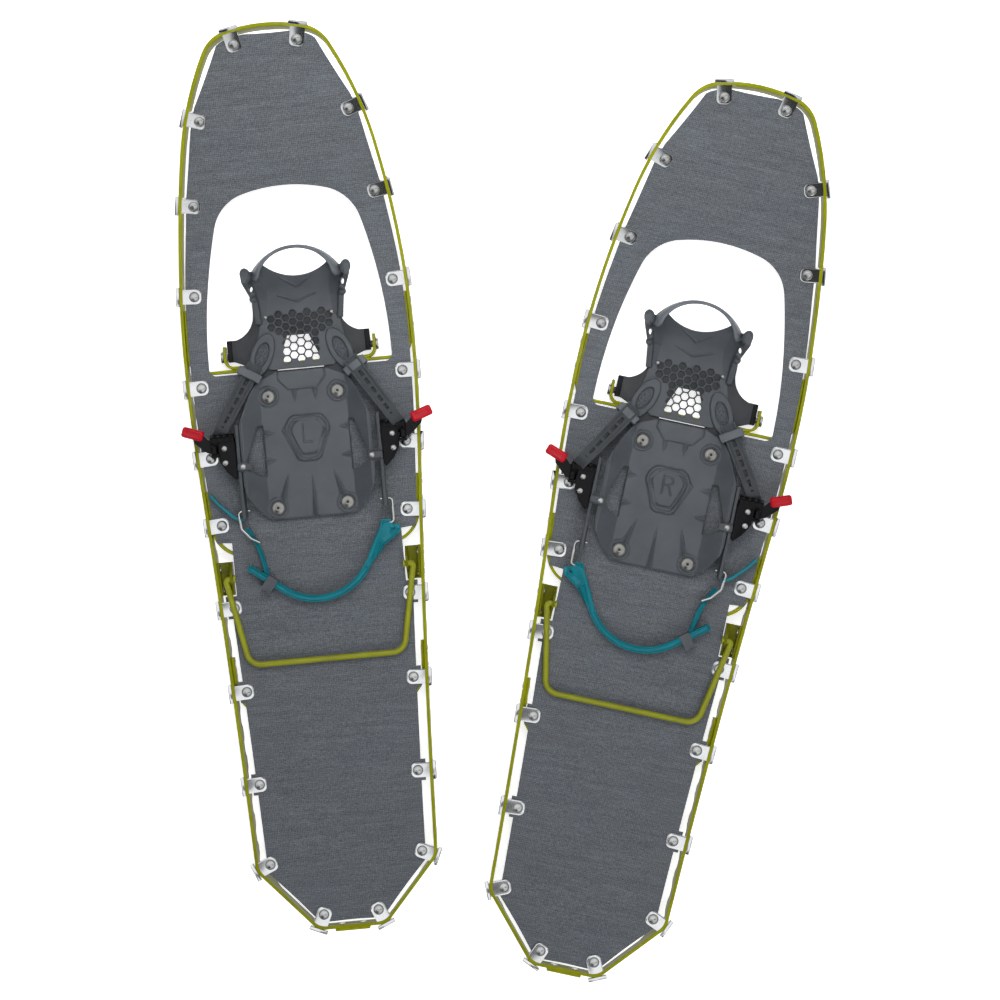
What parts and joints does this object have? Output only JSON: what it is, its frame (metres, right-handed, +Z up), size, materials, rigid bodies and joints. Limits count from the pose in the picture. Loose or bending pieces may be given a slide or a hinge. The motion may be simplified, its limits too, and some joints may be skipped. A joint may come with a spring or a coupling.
{
  "type": "snowshoes",
  "caption": "Pair of hiking snowshoes: toothed perimeter frame, riveted woven deck, pivoting crampon binding with buckled straps and a wire heel lift.",
  "frame": {"origin": "on the ground, at the centre of the pair's footprint", "axes": "+Y along the left shoe towards its nose, +Z up, +X towards the right shoe"},
  "size_m": [0.557, 0.819, 0.0935],
  "materials": {
    "frame_paint": "satin green powder coat on steel sheet and wire",
    "deck_weave": "coated grey twill",
    "clip_steel": "bright folded clips",
    "bright_steel": "bright rivets, pins and screws",
    "rail_steel": "satin green powder coat",
    "crampon_steel": "dark coat on hardened steel",
    "binding_plastic": "moulded dark grey",
    "cradle_rubber": "moulded dark grey elastomer",
    "strap_rubber": "moulded mid grey elastomer",
    "keeper_rubber": "moulded lighter grey elastomer",
    "arm_rubber": "moulded dark grey elastomer",
    "teal_strap": "moulded teal elastomer",
    "buckle_plastic": "moulded black",
    "grip_rubber": "moulded red",
    "wire_steel": "bright drawn wire"
  },
  "bodies": {
    "left_shoe": {"left_frame": "frame_paint", "left_frame_rivets": "bright_steel", "left_deck": "deck_weave", "left_deck_clips": "clip_steel", "left_deck_rivets": "bright_steel", "left_front_crossmember": "rail_steel", "left_rear_crossmembers": "rail_steel", "left_pivot_bracket": "rail_steel", "left_pivot_pins": "bright_steel", "left_lift_brackets": "rail_steel"},
    "left_binding": {"left_crampon": "crampon_steel", "left_pivot_bushings": "buckle_plastic", "left_toe_cradle": "cradle_rubber", "left_binding_plate": "binding_plastic", "left_plate_screws": "bright_steel", "left_toe_strap": "strap_rubber", "left_instep_straps": "strap_rubber", "left_strap_keepers": "keeper_rubber", "left_side_arms": "arm_rubber", "left_binding_rivets": "bright_steel", "left_buckles": "buckle_plastic", "left_heel_strap_tail": "teal_strap"},
    "left_inner_lever": {"left_lever_inner": "buckle_plastic", "left_grip_inner": "grip_rubber"},
    "left_outer_lever": {"left_lever_outer": "buckle_plastic", "left_grip_outer": "grip_rubber"},
    "left_heel_strap": {"left_heel_strap": "teal_strap", "left_heel_strap_keeper": "keeper_rubber", "left_strap_hooks": "wire_steel"},
    "left_heel_lift": {"left_lift_bail": "frame_paint"},
    "right_shoe": {"right_frame": "frame_paint", "right_frame_rivets": "bright_steel", "right_deck": "deck_weave", "right_deck_clips": "clip_steel", "right_deck_rivets": "bright_steel", "right_front_crossmember": "rail_steel", "right_rear_crossmembers": "rail_steel", "right_pivot_bracket": "rail_steel", "right_pivot_pins": "bright_steel", "right_lift_brackets": "rail_steel"},
    "right_binding": {"right_crampon": "crampon_steel", "right_pivot_bushings": "buckle_plastic", "right_toe_cradle": "cradle_rubber", "right_binding_plate": "binding_plastic", "right_plate_screws": "bright_steel", "right_toe_strap": "strap_rubber", "right_instep_straps": "strap_rubber", "right_strap_keepers": "keeper_rubber", "right_side_arms": "arm_rubber", "right_binding_rivets": "bright_steel", "right_buckles": "buckle_plastic", "right_heel_strap_tail": "teal_strap"},
    "right_inner_lever": {"right_lever_inner": "buckle_plastic", "right_grip_inner": "grip_rubber"},
    "right_outer_lever": {"right_lever_outer": "buckle_plastic", "right_grip_outer": "grip_rubber"},
    "right_heel_strap": {"right_heel_strap": "teal_strap", "right_heel_strap_keeper": "keeper_rubber", "right_strap_hooks": "wire_steel"},
    "right_heel_lift": {"right_lift_bail": "frame_paint"}
  },
  "joints": [
    {"name": "right_shoe_lift", "type": "slide", "parent": "left_shoe", "child": "right_shoe", "axis": [0, 0, 1], "range_m": [0, 0.15]},
    {"name": "left_binding_pivot", "type": "hinge", "parent": "left_shoe", "child": "left_binding", "pos_m": [-0.17411, 0.14345, 0.016], "axis": [-1, 0, 0], "range_deg": [0, 60]},
    {"name": "left_heel_lift_pivot", "type": "hinge", "parent": "left_shoe", "child": "left_heel_lift", "pos_m": [-0.17411, -0.04355, 0.0269], "axis": [-1, 0, 0], "range_deg": [0, 105]},
    {"name": "left_heel_strap_pivot", "type": "hinge", "parent": "left_binding", "child": "left_heel_strap", "pos_m": [-0.17411, 0.01245, 0.0312], "axis": [-1, 0, 0], "range_deg": [0, 100]},
    {"name": "left_inner_lever_pivot", "type": "hinge", "parent": "left_binding", "child": "left_inner_lever", "pos_m": [-0.09291, 0.06845, 0.038], "axis": [0, -1, 0], "range_deg": [0, 75]},
    {"name": "left_outer_lever_pivot", "type": "hinge", "parent": "left_binding", "child": "left_outer_lever", "pos_m": [-0.25131, 0.06845, 0.038], "axis": [0, 1, 0], "range_deg": [0, 75]},
    {"name": "right_binding_pivot", "type": "hinge", "parent": "right_shoe", "child": "right_binding", "pos_m": [0.14559, 0.06745, 0.016], "axis": [-0.9542, 0.299, 0], "range_deg": [0, 60]},
    {"name": "right_heel_lift_pivot", "type": "hinge", "parent": "right_shoe", "child": "right_heel_lift", "pos_m": [0.08967, -0.11099, 0.0269], "axis": [-0.9542, 0.299, 0], "range_deg": [0, 105]},
    {"name": "right_heel_strap_pivot", "type": "hinge", "parent": "right_binding", "child": "right_heel_strap", "pos_m": [0.10642, -0.05756, 0.0312], "axis": [-0.9542, 0.299, 0], "range_deg": [0, 100]},
    {"name": "right_inner_lever_pivot", "type": "hinge", "parent": "right_binding", "child": "right_inner_lever", "pos_m": [0.04568, 0.02016, 0.038], "axis": [0.299, 0.9542, 0], "range_deg": [0, 75]},
    {"name": "right_outer_lever_pivot", "type": "hinge", "parent": "right_binding", "child": "right_outer_lever", "pos_m": [0.19683, -0.0272, 0.038], "axis": [-0.299, -0.9542, 0], "range_deg": [0, 75]}
  ]
}
